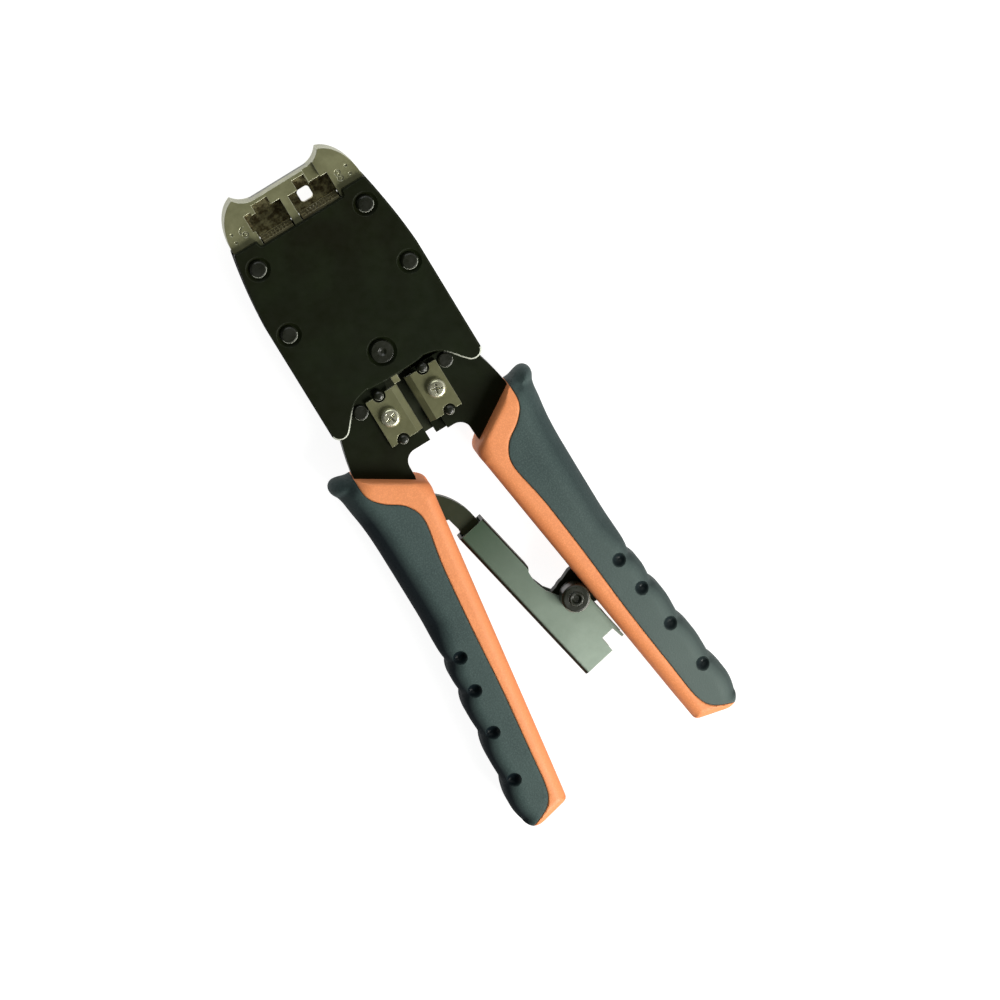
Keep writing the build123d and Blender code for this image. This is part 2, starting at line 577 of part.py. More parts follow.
def build():
    blank = arm_blank()
    arm_l = left_arm(blank)
    arm_r = right_arm(blank)
    core, cover = grip_solids()
    front = side_plate()
    blade_l = blade()
    screw_l = blade_screw()
    studs_l = blade_studs()
    drop = Pos(0, 0, -(ARM_FRONT_Z + ARM_BACK_Z))
    nodes = {
        "front_plate": front,
        "back_plate": mirror(front, about=Plane.XY),
        "nose_block": nose_block(),
        "upper_rivets": rivet_pair(UPPER_RIVET),
        "middle_rivets": rivet_pair(MIDDLE_RIVET),
        "pivot_rivet": pivot_rivet(),
        "guide_rails": guide_rails(),
        "wire_stop": wire_stop(),
        "wire_guide": wire_guide(),
        "return_springs": return_springs(),
        "ram": ram(),
        "punch_six_way": punch(SIX_WAY, 6),
        "punch_eight_way": punch(EIGHT_WAY, 8),
        "left_arm": arm_l,
        "right_arm": arm_r,
        "left_arm_rivet": arm_rivet(-ARM_RIVET[0], ARM_FRONT_Z, ARM_BACK_Z),
        "right_arm_rivet": arm_rivet(ARM_RIVET[0], -ARM_BACK_Z, -ARM_FRONT_Z),
        "left_blade": blade_l,
        "right_blade": drop * mirror_x(blade_l),
        "left_blade_screw": screw_l,
        "right_blade_screw": drop * mirror_x(screw_l),
        "left_blade_studs": studs_l,
        "right_blade_studs": drop * mirror_x(studs_l),
        "left_grip_body": mirror_x(core) - blank - left_grip_slot(),
        "left_grip_cover": mirror_x(cover) - blank - left_grip_slot(),
        "right_grip_body": core - turn_over(blank) - right_grip_slot(),
        "right_grip_cover": cover - turn_over(blank) - right_grip_slot(),
        "bar_pin": disc(BAR_PIN, BAR_PIN_R, ARM_BACK_Z, ARM_FRONT_Z),
        "ratchet_bar": ratchet_bar(),
        "ratchet_channel": ratchet_channel(),
        "ratchet_back": ratchet_back(),
        "pawl": pawl(),
        "pawl_pin": pawl_pin(),
        "pawl_spring": pawl_spring(),
        "pivot_stud": pivot_stud(),
        "release_knob": release_knob(),
    }
    return nodes


os.makedirs("parts", exist_ok=True)
for name, shape in build().items():
    export_step(TOOL_PLACE * shape, f"parts/{name}.step")
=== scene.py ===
import json
import math

import bpy
import numpy as np
from mathutils import Matrix, Vector, geometry


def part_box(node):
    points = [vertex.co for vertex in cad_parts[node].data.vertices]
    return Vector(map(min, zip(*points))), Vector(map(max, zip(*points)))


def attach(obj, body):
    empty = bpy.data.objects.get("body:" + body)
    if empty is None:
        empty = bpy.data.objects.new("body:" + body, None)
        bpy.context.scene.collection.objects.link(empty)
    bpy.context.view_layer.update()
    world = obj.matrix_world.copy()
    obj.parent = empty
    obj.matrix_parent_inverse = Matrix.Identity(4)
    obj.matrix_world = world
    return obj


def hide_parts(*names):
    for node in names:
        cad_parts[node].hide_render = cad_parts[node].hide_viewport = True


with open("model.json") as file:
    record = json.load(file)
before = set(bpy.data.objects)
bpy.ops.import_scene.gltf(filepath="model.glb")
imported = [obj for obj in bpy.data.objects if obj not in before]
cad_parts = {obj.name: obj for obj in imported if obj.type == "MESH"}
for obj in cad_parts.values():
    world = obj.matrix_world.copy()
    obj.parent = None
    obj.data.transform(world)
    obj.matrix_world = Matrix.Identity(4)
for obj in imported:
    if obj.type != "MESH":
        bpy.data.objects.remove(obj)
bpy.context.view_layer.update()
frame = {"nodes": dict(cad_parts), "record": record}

MM = 0.001

# Drawing axes of the CAD model: the main pivot is at (0, 0), and z = 0 is the middle of the head.
# Places on the tool are in these axes and in millimetres.
PIVOT_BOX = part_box("pivot_rivet")
DRAWING_ORIGIN = (Vector(PIVOT_BOX[0]) + Vector(PIVOT_BOX[1])) / 2

# ---- camera -----------------------------------------------------------------------------
CAMERA_TARGET = DRAWING_ORIGIN + Vector((6.3, -52.7, 0.0)) * MM
CAMERA_DISTANCE = 1.6
CAMERA_TOWARDS_NOSE = math.radians(13)
CAMERA_TOWARDS_RIGHT = math.radians(-1)
CAMERA_ROLL = math.radians(-31.4)
CAMERA_LENS_PER_METRE = 134.1      # focal length in mm for each metre of distance

# ---- light: places and sizes in metres --------------------------------------------------
KEY_PLACE = (0.17, -0.43, 0.43)
KEY_SIZE = 0.32
KEY_POWER = 4.6
KEY_COLOUR = (1.0, 0.99, 0.93)
FILL_PLACE = (0.16, 0.52, 0.46)
FILL_SIZE = 0.5
FILL_POWER = 1.5
FILL_COLOUR = (0.95, 1.0, 0.97)
# The world's brightness is the product of three ramps: start, end, value at each.
WORLD_RISE = (0.02, 0.40, 0.15, 0.75)   # over the direction's height, up from the horizon
WORLD_FADE = (0.55, 0.88, 1.0, 0.12)    # over the height again, towards a dark zenith
WORLD_SIDE = (-0.6, 0.7, 0.06, 1.05)    # from the dark side to the bright side
WORLD_BRIGHT_SIDE = (0.85, -0.52, 0.0)
FLOOR_HALF = 3.0
FLOOR_GREY = (0.27, 0.27, 0.27)
FLOOR_GREY_LOW = (0.25, 0.25, 0.25)
FLOOR_GLOW = 0.93

# ---- grips ------------------------------------------------------------------------------
GRIP_HALF = 9.5
EDGE_RADIUS_INNER = 3.2            # rounding along the orange inner side
EDGE_RADIUS_OUTER = 4.8            # rounding along the cover's finger side
EDGE_RADIUS_PALM = 7.5             # and between the horn and the first pit
PALM_END_Y = -78
EDGE_RADIUS_MOUTH = 1.2
EDGE_RADIUS_END = 2.4
GRIP_END_Y = -130
EDGE_RADIUS_HORN = 9.0             # the horn's tip is rounded all over
HORN_TIP = (30.6, -24.6)
HORN_REACH = 4.5
MOUTH_CORNER = (6.4, -37.2)
EDGE_RADIUS_CORNER = 4.0
CORNER_REACH = 6.0
SIDE_LINE = (9.0, -40.0)           # a line between the inner and the outer side goes through here
SIDE_LINE_SLOPE = 0.137            # and leans outwards by this much towards the grip's end
SEAM_RADIUS = 0.45                 # each grip part is rounded this much at the colour line
PITS = [(25.0, -81.8), (26.3, -91.7), (28.0, -104.2), (29.8, -118.5)]
NOTCHES = [(28.7, -82.5), (29.9, -91.9), (31.5, -104.8), (33.1, -118.6)]
PIT_RADIUS = 1.95
PIT_DEPTH = 2.1
CREASE_WIDTH = 0.75                # a crease runs from each pit to its notch in the outline
CREASE_DEPTH = 1.0
MOUTH_LINE = ((7.1, -36.8), (23.9, -26.0))
HORN_CREASE = ((31.5, -28.9), (26.5, -27.6))
HORN_CREASE_DEPTH = 0.9
LOOP_STEP = 0.5                    # spacing of the mesh's points along an outline
FIELD_STEP = 0.75                  # and on the open faces
PIT_STEP = 0.25                    # and in the finger pits
CLOSEST = 0.11                     # points nearer to each other than this are merged
OUTLINE_CLEAR = 0.025              # and points nearer to the outline than this are left out
SEAM_MATCH = 0.02                  # sides of body and cover that lie this close are the seam
RIM_RINGS = 11
SEAM_RINGS = 5
CORNER_ANGLE = math.radians(28)    # an outline that turns more than this has a corner there
SHARP_ANGLE = math.radians(40)
WALL_ROWS = 7
SLOT_HALF = 1.9                    # half height of the slots for the bar and the lug
CHANNEL_SLOT_HALF = 4.1

# ---- nose -------------------------------------------------------------------------------
CAVITY_HALF_WIDTH = 12.9           # both plug cavities lie within this
CAVITY_BOTTOM_Y = 39
CAVITY_TOP_Y = 51.5
NOTCH_Y = 52.3
NOTCH_HALF_WIDTH = 8.4

# ---- colours: linear red, green, blue ---------------------------------------------------
ORANGE = (0.77, 0.272, 0.104)
ORANGE_DEEP = (0.72, 0.243, 0.091)
# painted shade for the grips' rounded sides
ORANGE_SIDE_SHADE = (0.70, 0.23, 0.085)
COVER = (0.054, 0.082, 0.078)
COVER_DEEP = (0.040, 0.061, 0.060)
# painted shade for the cover's rounded sides and its finger pits
COVER_SHADE = (0.0070, 0.0120, 0.0150)
# painted light on the far end of the right-hand cover
COVER_PAINTED_LIGHT = (0.105, 0.135, 0.125)
BLACK_STEEL = (0.0056, 0.0064, 0.0014)
BLACK_STEEL_TINT = (0.0068, 0.0100, 0.0034)
BLACK_RIVET = (0.0065, 0.0078, 0.0036)
BLACK_RIVET_TINT = (0.0085, 0.0100, 0.0050)
DARK_STEEL = (0.024, 0.030, 0.014)
DARK_STEEL_TINT = (0.018, 0.022, 0.010)
# painted highlight on chamfered edges that face the key light
CHAMFER_HIGHLIGHT = (0.60, 0.63, 0.54)
RUBBED_PLATE = (0.06, 0.068, 0.048)
RUBBED_RIVET = (0.022, 0.025, 0.017)
NICKEL = (0.325, 0.325, 0.180)
NICKEL_STAIN = (0.195, 0.193, 0.098)
# rubbed edges, brightened into painted glints
NICKEL_EDGE_GLINT = (0.85, 0.85, 0.68)
NICKEL_BLADE = (0.115, 0.118, 0.058)
# painted shade deep in the plug cavities, with paler patches
CAVITY_SHADE = (0.13, 0.10, 0.042)
CAVITY_SHADE_PALE = (0.52, 0.48, 0.26)
# painted shade in the groove of the nose's notch
NOTCH_GROOVE_SHADE = (0.02, 0.024, 0.016)
# painted light along the channel: shaded at the mouth, lit at the far end
SHEET_SHADED_MOUTH = (0.036, 0.066, 0.037)
SHEET_LIT_FAR_END = (0.28, 0.345, 0.29)
SHEET_EDGE = (0.32, 0.37, 0.30)
# painted shade on the sheet's upright walls and bends
SHEET_WALL_SHADE = (0.010, 0.013, 0.007)


def to_drawing(place):
    """A place in the frame, in drawing millimetres."""
    return (Vector(place) - DRAWING_ORIGIN) / MM


def to_frame(places):
    """Drawing places, in the frame's metres."""
    return [Vector(place) * MM + DRAWING_ORIGIN for place in places]


def add_mesh(name, places, faces):
    """A mesh object with its points at places in the frame, in metres."""
    mesh = bpy.data.meshes.new(name)
    mesh.from_pydata(places, [], faces)
    made = bpy.data.objects.new(name, mesh)
    bpy.context.scene.collection.objects.link(made)
    return made


# ---- shader nodes -----------------------------------------------------------------------

class Nodes:
    """Short ways to add nodes to a node tree and join them."""

    def __init__(self, tree):
        self.tree = tree

    def node(self, kind, **settings):
        made = self.tree.nodes.new(kind)
        for key, value in settings.items():
            setattr(made, key, value)
        return made

    def join(self, source, target):
        self.tree.links.new(source, target)

    def split(self, vector):
        """The X, Y and Z of a vector, by name."""
        made = self.node("ShaderNodeSeparateXYZ")
        self.join(vector, made.inputs["Vector"])
        return {axis: made.outputs[axis] for axis in "XYZ"}

    def spread(self, value, low, high, to_low=0.0, to_high=1.0, shape="LINEAR"):
        """Maps low..high of a value to to_low..to_high."""
        made = self.node("ShaderNodeMapRange", interpolation_type=shape)
        for name, number in zip(("From Min", "From Max", "To Min", "To Max"), (low, high, to_low, to_high)):
            made.inputs[name].default_value = number
        self.join(value, made.inputs["Value"])
        return made.outputs["Result"]

    def combine(self, operation, *values):
        """Runs a two-value operation, such as MULTIPLY or MAXIMUM, over two or more values."""
        result = values[0]
        for value in values[1:]:
            made = self.node("ShaderNodeMath", operation=operation)
            self.join(result, made.inputs[0])
            self.join(value, made.inputs[1])
            result = made.outputs["Value"]
        return result

    def times(self, *values):
        return self.combine("MULTIPLY", *values)

    def absolute(self, value):
        made = self.node("ShaderNodeMath", operation="ABSOLUTE")
        self.join(value, made.inputs[0])
        return made.outputs["Value"]

    def vectors(self, operation, first, second):
        """DOT_PRODUCT or DISTANCE of two vectors; the second one may be a plain tuple."""
        made = self.node("ShaderNodeVectorMath", operation=operation)
        self.join(first, made.inputs[0])
        if isinstance(second, tuple):
            made.inputs[1].default_value = second
        else:
            self.join(second, made.inputs[1])
        return made.outputs["Value"]


class Shader(Nodes):
    """A new material, with the patterns and masks that the finishes share."""

    def __init__(self, name):
        self.material = bpy.data.materials.new(name)
        self.material.use_nodes = True
        super().__init__(self.material.node_tree)
        self.surface = self.tree.nodes["Principled BSDF"]
        self.place = self.node("ShaderNodeTexCoord").outputs["Object"]
        self.axes = self.split(self.place)

    def noise(self, scale, detail=3.0, roughness=0.5, stretch=None):
        """Fractal noise. scale is in features a metre; stretch scales the three axes apart."""
        place = self.place
        if stretch:
            mapping = self.node("ShaderNodeMapping")
            mapping.inputs["Scale"].default_value = stretch
            self.join(place, mapping.inputs["Vector"])
            place = mapping.outputs["Vector"]
        made = self.node("ShaderNodeTexNoise")
        made.inputs["Scale"].default_value = scale
        made.inputs["Detail"].default_value = detail
        made.inputs["Roughness"].default_value = roughness
        self.join(place, made.inputs["Vector"])
        return made.outputs["Fac"]

    def along(self, axis, start, end, at_start=0.0, at_end=1.0):
        """Goes from at_start to at_end between two drawing places on the X, Y or Z axis."""
        origin = DRAWING_ORIGIN["XYZ".index(axis)]
        return self.spread(self.axes[axis], origin + start * MM, origin + end * MM, at_start, at_end)

    def mix(self, factor, first, second):
        """Mixes two colours; each is a tuple or another node's output."""
        made = self.node("ShaderNodeMix", data_type="RGBA")
        self.join(factor, made.inputs["Factor"])
        for socket, colour in ((made.inputs[6], first), (made.inputs[7], second)):
            if isinstance(colour, tuple):
                socket.default_value = (*colour, 1.0)
            else:
                self.join(colour, socket)
        return made.outputs[2]

    def blend(self, factor, value, number):
        """A value that goes over to a plain number as the factor rises."""
        made = self.node("ShaderNodeMix", data_type="FLOAT")
        self.join(factor, made.inputs["Factor"])
        self.join(value, made.inputs["A"])
        made.inputs["B"].default_value = number
        return made.outputs["Result"]

    def edges(self, radius):
        """(rounded normal, mask of convex and concave edges) for parts with crisp CAD edges."""
        bevel = self.node("ShaderNodeBevel", samples=6)
        bevel.inputs["Radius"].default_value = radius
        rounded = bevel.outputs["Normal"]
        true_normal = self.node("ShaderNodeNewGeometry").outputs["Normal"]
        return rounded, self.spread(self.vectors("DOT_PRODUCT", rounded, true_normal), 0.995, 0.88)

    def rubbed(self, edge, low, high, noise):
        """The edge mask broken up by noise, so that the rubbed marks are patchy."""
        return self.times(edge, self.spread(noise, low, high))

    def true_normal(self):
        return self.split(self.node("ShaderNodeNewGeometry").outputs["True Normal"])

    def facing(self):
        """How far the true surface looks up or down: 0 on an upright wall, 1 on a flat face."""
        return self.absolute(self.true_normal()["Z"])

    def key_lit_chamfers(self):
        """1 on edges cut at 45 degrees that look towards the handles, where the key light comes from; a
        painted highlight goes there.
        """
        facing = self.facing()
        towards_handles = self.spread(self.true_normal()["Y"], -0.08, -0.16)
        return self.times(self.spread(facing, 0.66, 0.69), self.spread(facing, 0.75, 0.72), towards_handles)

    def bump(self, height, strength, distance, normal=None):
        made = self.node("ShaderNodeBump")
        made.inputs["Strength"].default_value = strength
        made.inputs["Distance"].default_value = distance
        self.join(height, made.inputs["Height"])
        if normal is not None:
            self.join(normal, made.inputs["Normal"])
        return made.outputs["Normal"]

    def finish(self, colour, rough, normal, metallic=0.0, specular=0.5):
        self.join(colour, self.surface.inputs["Base Color"])
        self.join(rough, self.surface.inputs["Roughness"])
        self.join(normal, self.surface.inputs["Normal"])
        self.surface.inputs["Metallic"].default_value = metallic
        self.surface.inputs["Specular IOR Level"].default_value = specular
        return self.material


# ---- materials --------------------------------------------------------------------------

def paler(colour, times, plus=0.0):
    """A colour made lighter by a factor and a small amount."""
    return tuple(min(1.0, part * times + plus) for part in colour)


def pit_mask(s):
    """1 inside the finger pits of both grips, which lie the same way on either side of x = 0."""
    flat = s.node("ShaderNodeCombineXYZ")
    s.join(s.absolute(s.axes["X"]), flat.inputs["X"])
    s.join(s.axes["Y"], flat.inputs["Y"])
    found = []
    for x, y in PITS:
        middle = (x * MM, DRAWING_ORIGIN.y + y * MM, 0.0)
        away = s.vectors("DISTANCE", flat.outputs["Vector"], middle)
        found.append(s.spread(away, PIT_RADIUS * MM, (PIT_RADIUS - 0.4) * MM))
    return s.combine("MAXIMUM", *found)


def side_shade_mask(s):
    """1 on the rounded sides of a grip, half as much on the horn and on the right-hand grip. Painted shade
    goes there, darkest on the left grip.
    """
    front = s.along("Z", GRIP_HALF - 0.1, GRIP_HALF - 1.6)
    back = s.along("Z", 0.1 - GRIP_HALF, 1.6 - GRIP_HALF)
    below_horn = s.along("Y", -27, -38, 0.45, 1.0)
    left_grip = s.along("X", 2, -2, 0.45, 1.0)
    return s.times(front, back, below_horn, left_grip)


def cover_painted_light_and_pit_polish(s, colour, roughness):
    """Painted light: the far end of the right-hand cover is paler, towards the key light. Painted shade:
    the finger pits are dark; they are also polished.
    """
    far_end = s.along("Y", -50, -115)
    right_grip = s.along("X", 0, 12, 0.0, 0.75)
    # painted light: paler towards the far end of the right-hand cover
    colour = s.mix(s.times(far_end, right_grip), colour, COVER_PAINTED_LIGHT)
    pit = pit_mask(s)
    # painted shade: the finger pits are darkened
    colour = s.mix(s.spread(pit, 0, 1, 0, 0.8), colour, COVER_SHADE)
    return colour, s.blend(pit, roughness, 0.28)


def moulded(name, base, deep, shade_tone, rough, grain, grain_depth, specular, painted_light_and_polish=None):
    """Moulded plastic or rubber with a fine spark-eroded grain, and painted shade on its rounded sides."""
    s = Shader(name)
    low = side_shade_mask(s)
    speck = s.noise(grain, 3, 0.6)
    colour = s.mix(s.spread(s.noise(45, 4, 0.6), 0.3, 0.7), base, deep)
    colour = s.mix(s.spread(speck, 0.45, 0.75, 0.0, 0.6), colour, paler(base, 1.4, 0.006))
    roughness = s.spread(s.noise(220, 4, 0.6), 0.3, 0.7, rough - 0.06, rough + 0.08)
    roughness = s.blend(low, roughness, 0.9)
    # the cover's painted light, its painted pit shade and its polished pits
    if painted_light_and_polish:
        colour, roughness = painted_light_and_polish(s, colour, roughness)
    # painted shade: the rounded sides get the darker shade tone
    colour = s.mix(low, colour, shade_tone)
    fine = s.bump(speck, 0.35, grain_depth)
    wavy = s.bump(s.noise(140, 3), 0.25, 0.00025, fine)
    return s.finish(colour, roughness, wavy, specular=specular)


def oxide(name, base, tint, rough, specular=0.1, rubbed_tone=RUBBED_PLATE):
    """Blackened steel: slow drift of tone, faint blotches, hair scratches and rubbed edges."""
    s = Shader(name)
    rounded, edge = s.edges(0.00025)
    colour = s.mix(s.spread(s.noise(28, 3, 0.6), 0.35, 0.65), base, tint)
    colour = s.mix(s.spread(s.noise(110, 5, 0.6), 0.45, 0.8, 0.0, 0.6), colour, paler(tint, 1.7))
    colour = s.mix(s.rubbed(edge, 0.35, 0.65, s.noise(900, 4, 0.7)), colour, rubbed_tone)
    # painted highlight on the chamfered edges that face the key light
    colour = s.mix(s.key_lit_chamfers(), colour, CHAMFER_HIGHLIGHT)
    roughness = s.spread(s.noise(400, 5, 0.65), 0.3, 0.7, rough - 0.07, rough + 0.09)
    grain = s.bump(s.noise(5200, 3, 0.6), 0.16, 0.00005, rounded)
    scratch = s.spread(s.noise(260, 5, 0.7, stretch=(1.0, 14.0, 14.0)), 0.6, 0.72)
    scored = s.bump(scratch, 0.12, 0.00003, grain)
    return s.finish(colour, roughness, scored, specular=specular)


def brushed(s, colour, rounded, rough_low, rough_high, metallic, stretch=22.0):
    """Finishes a bare or plated metal with fine brush marks across the tool."""
    brush = s.noise(900, 4, 0.6, stretch=(1.0, stretch, 1.0))
    roughness = s.spread(brush, 0.25, 0.75, rough_low, rough_high)
    return s.finish(colour, roughness, s.bump(brush, 0.18, 0.00004, rounded), metallic=metallic)


def stained(s, base, stain, edge, edge_tone):
    """A metal's colour with slow stains and bright edges."""
    colour = s.mix(s.spread(s.noise(170, 6, 0.65), 0.35, 0.72), base, stain)
    return s.mix(s.rubbed(edge, 0.2, 0.6, s.noise(1200)), colour, edge_tone)


def plated(name, base, stain, rough, metallic=1.0):
    """Zinc plate or bare steel."""
    s = Shader(name)
    rounded, edge = s.edges(0.0002)
    colour = stained(s, base, stain, edge, paler(base, 1.5))
    return brushed(s, colour, rounded, rough - 0.08, rough + 0.1, metallic)


def cavity_mask(s):
    """1 deep inside the two plug cavities, where painted shade goes."""
    front = to_drawing(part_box("nose_block")[1]).z
    deep = s.along("Z", front - 1.9, front - 2.5)
    above = s.along("Y", CAVITY_BOTTOM_Y - 1, CAVITY_BOTTOM_Y)
    below = s.along("Y", CAVITY_TOP_Y + 0.4, CAVITY_TOP_Y)
    left = s.along("X", -CAVITY_HALF_WIDTH - 0.3, -CAVITY_HALF_WIDTH)
    right = s.along("X", CAVITY_HALF_WIDTH + 0.3, CAVITY_HALF_WIDTH)
    return s.times(deep, above, below, left, right)


def notch_mask(s):
    """1 in the groove along the wall of the nose's notch, where painted shade goes."""
    back = to_drawing(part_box("nose_block")[0]).z
    low = s.along("Z", back + 2.9, back + 2.5)
    high = s.along("Z", back + 0.5, back + 0.7)
    above = s.along("Y", NOTCH_Y - 0.2, NOTCH_Y)
    left = s.along("X", -NOTCH_HALF_WIDTH - 0.6, -NOTCH_HALF_WIDTH)
    right = s.along("X", NOTCH_HALF_WIDTH + 0.6, NOTCH_HALF_WIDTH)
    return s.times(low, high, above, left, right)


def nickel():
    """Nickel plate, duller on the blades, with painted glints on its rubbed edges, painted shade deep
    inside the cavities and in the groove of the notch.
    """
    s = Shader("nickel")
    rounded, edge = s.edges(0.0002)
    # rubbed edges, brightened into painted glints
    colour = stained(s, NICKEL, NICKEL_STAIN, edge, NICKEL_EDGE_GLINT)
    colour = s.mix(s.along("Y", -8, -10, 0.0, 0.6), colour, NICKEL_BLADE)
    # painted shade deep in the cavities, mottled with paler patches
    cavity_shade = s.mix(s.spread(s.noise(420, 5, 0.7), 0.42, 0.6), CAVITY_SHADE, CAVITY_SHADE_PALE)
    colour = s.mix(cavity_mask(s), colour, cavity_shade)
    # painted shade in the groove of the nose's notch
    colour = s.mix(notch_mask(s), colour, NOTCH_GROOVE_SHADE)
    return brushed(s, colour, rounded, 0.26, 0.44, metallic=0.6)


def zinc_sheet():
    """Grey-green passivated sheet, with painted light: dark at the mouth and lighter towards the far end;
    painted shade on its walls.
    """
    s = Shader("grey_sheet")
    rounded, edge = s.edges(0.0002)
    low, high = (to_drawing(corner).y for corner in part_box("ratchet_channel"))
    smudge = s.spread(s.noise(120, 6, 0.65, stretch=(1.0, 1.0, 2.0)), 0.3, 0.75, 0.82, 1.12)
    # painted light: dark at the mouth, lighter towards the far end
    colour = s.mix(s.times(s.along("Y", high, low), smudge), SHEET_SHADED_MOUTH, SHEET_LIT_FAR_END)
    colour = s.mix(s.rubbed(edge, 0.2, 0.6, s.noise(1200)), colour, SHEET_EDGE)
    # painted shade on the sheet's upright walls and bends
    colour = s.mix(s.spread(s.facing(), 0.99, 0.88), colour, SHEET_WALL_SHADE)
    return brushed(s, colour, rounded, 0.36, 0.52, metallic=0.45, stretch=16.0)


def make_materials():
    return {
        "orange_plastic": moulded(
            "orange_plastic", ORANGE, ORANGE_DEEP, ORANGE_SIDE_SHADE,
            rough=0.46, grain=2600, grain_depth=0.00008, specular=0.4),
        "dark_cover": moulded(
            "dark_cover", COVER, COVER_DEEP, COVER_SHADE,
            rough=0.55, grain=2100, grain_depth=0.00022, specular=0.14, painted_light_and_polish=cover_painted_light_and_pit_polish),
        "black_steel": oxide("black_steel", BLACK_STEEL, BLACK_STEEL_TINT, 0.44),
        "black_rivet": oxide(
            "black_rivet", BLACK_RIVET, BLACK_RIVET_TINT, 0.29, specular=0.55, rubbed_tone=RUBBED_RIVET),
        "dark_steel": oxide("dark_steel", DARK_STEEL, DARK_STEEL_TINT, 0.42, specular=0.2),
        "grey_sheet": zinc_sheet(),
        "nickel": nickel(),
        "plain_steel": plated("plain_steel", (0.25, 0.225, 0.125), (0.12, 0.10, 0.05), 0.4, metallic=0.4),
        "spring_steel": plated("spring_steel", (0.5, 0.5, 0.48), (0.36, 0.36, 0.34), 0.25),
        "bright_screw": plated("bright_screw", (0.80, 0.79, 0.60), (0.40, 0.39, 0.27), 0.24, metallic=0.8),
    }


# ---- grip meshes ------------------------------------------------------------------------

def front_loop(node):
    """The outline of a CAD node's front face as ordered 2-D points in drawing millimetres."""
    mesh = frame["nodes"][node].data
    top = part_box(node)[1].z
    sides = []
    # Corners are compared as whole steps of a ten-thousandth of a millimetre.
    for face in mesh.polygons:
        corners = [mesh.vertices[i].co for i in face.vertices]
        if min(corner.z for corner in corners) > top - 1e-5:
            keys = [(round(corner.x * 1e7), round(corner.y * 1e7)) for corner in corners]
            sides += zip(keys, keys[1:] + keys[:1])
    known = set(sides)
    follows = {a: b for a, b in sides if (b, a) not in known}
    start = min(follows)
    loop = [start]
    while follows[loop[-1]] != start:
        loop.append(follows[loop[-1]])
    points = np.array(loop, float) * 1e-4
    return points - np.array([DRAWING_ORIGIN.x, DRAWING_ORIGIN.y]) / MM


def turning(points):
    """How sharply the loop turns at each point, in radians."""
    ahead = np.roll(points, -1, 0) - points
    behind = points - np.roll(points, 1, 0)
    angle = np.arctan2(ahead[:, 1], ahead[:, 0]) - np.arctan2(behind[:, 1], behind[:, 0])
    return np.abs((angle + np.pi) % (2 * np.pi) - np.pi)


def even_loop(points):
    """The loop resampled to even steps between its corners, then smoothed along the curves."""
    corners = np.flatnonzero(turning(points) > CORNER_ANGLE)
    made = []
    fixed = []
    for first, last in zip(corners, np.roll(corners, -1)):
        if last <= first:
            last += len(points)
        run = points[np.arange(first, last + 1) % len(points)]
        along = np.concatenate([[0], np.cumsum(np.linalg.norm(np.diff(run, axis=0), axis=1))])
        count = max(1, round(along[-1] / LOOP_STEP))
        at = np.linspace(0, along[-1], count + 1)[:-1]
        fixed += [True] + [False] * (count - 1)
        made.append(np.stack([np.interp(at, along, run[:, 0]), np.interp(at, along, run[:, 1])], 1))
    loop = np.concatenate(made)
    free = ~np.array(fixed)
    for _ in range(3):
        mean = (np.roll(loop, 1, 0) + np.roll(loop, -1, 0)) / 2
        loop[free] += 0.5 * (mean - loop)[free]
    return loop


def segment_distance(points, starts, ends):
    """Distance of every point to every segment."""
    along = ends - starts
    square = np.maximum((along ** 2).sum(1), 1e-12)
    offset = points[:, None, :] - starts[None]
    t = np.clip((offset * along[None]).sum(2) / square[None], 0, 1)
    return np.linalg.norm(offset - t[..., None] * along[None], axis=2)


def line_distance(points, line):
    """Distance of every point to one segment."""
    ends = np.array([line], float)
    return segment_distance(points, ends[:, 0], ends[:, 1])[:, 0]


def inside(points, loop):
    """Which points lie inside the loop: a ray from there crosses it an odd number of times."""
    x, y = points[:, :1], points[:, 1:]
    ax, ay = loop[:, 0][None], loop[:, 1][None]
    bx, by = np.roll(loop[:, 0], -1)[None], np.roll(loop[:, 1], -1)[None]
    crosses = ((ay > y) != (by > y)) & (x < (bx - ax) * (y - ay) / (by - ay + 1e-12) + ax)
    return crosses.sum(1) % 2 == 1


def round_off(radius, gap):
    """How far a rounded edge has dropped at a distance from the rim."""
    inset = np.clip(radius - gap, 0, None)
    return radius - np.sqrt(radius ** 2 - inset ** 2)


